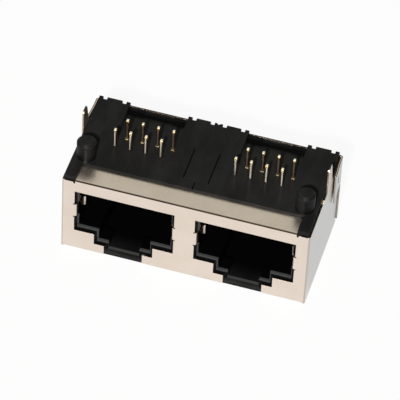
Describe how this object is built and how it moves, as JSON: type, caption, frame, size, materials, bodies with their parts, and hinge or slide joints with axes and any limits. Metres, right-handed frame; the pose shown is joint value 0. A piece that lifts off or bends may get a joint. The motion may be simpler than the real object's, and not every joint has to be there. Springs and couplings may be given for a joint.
{
  "type": "modular jack",
  "caption": "Shielded two-port modular jack for eight-contact plugs: right-angle housing, folded metal shield, board posts, ground tabs and staggered solder tails.",
  "frame": {"origin": "bottom centre of the bounding box: on the flat side of the shield, opposite the board side, midway between the ports and midway from the front plate to the rear cover", "axes": "+X to the right along the row of ports as seen from the front, +Y from the ports towards the rear cover, +Z from the flat side towards the board side, along the posts and tails"},
  "size_m": [0.0332, 0.0154, 0.0161],
  "materials": {
    "housing": "smooth black moulded plastic with a soft sheen",
    "contact_carrier": "smooth black moulded plastic with a soft sheen",
    "contact": "gold-plated wire, with tinned grey-brown tails",
    "shield": "satin nickel-plated sheet"
  },
  "bodies": {
    "root": {"housing": "housing", "left_contact_carrier": "contact_carrier", "right_contact_carrier": "contact_carrier", "left_contact_1": "contact", "left_contact_2": "contact", "left_contact_3": "contact", "left_contact_4": "contact", "left_contact_5": "contact", "left_contact_6": "contact", "left_contact_7": "contact", "left_contact_8": "contact", "right_contact_1": "contact", "right_contact_2": "contact", "right_contact_3": "contact", "right_contact_4": "contact", "right_contact_5": "contact", "right_contact_6": "contact", "right_contact_7": "contact", "right_contact_8": "contact", "front_shield": "shield", "rear_shield_cover": "shield"}
  },
  "joints": []
}
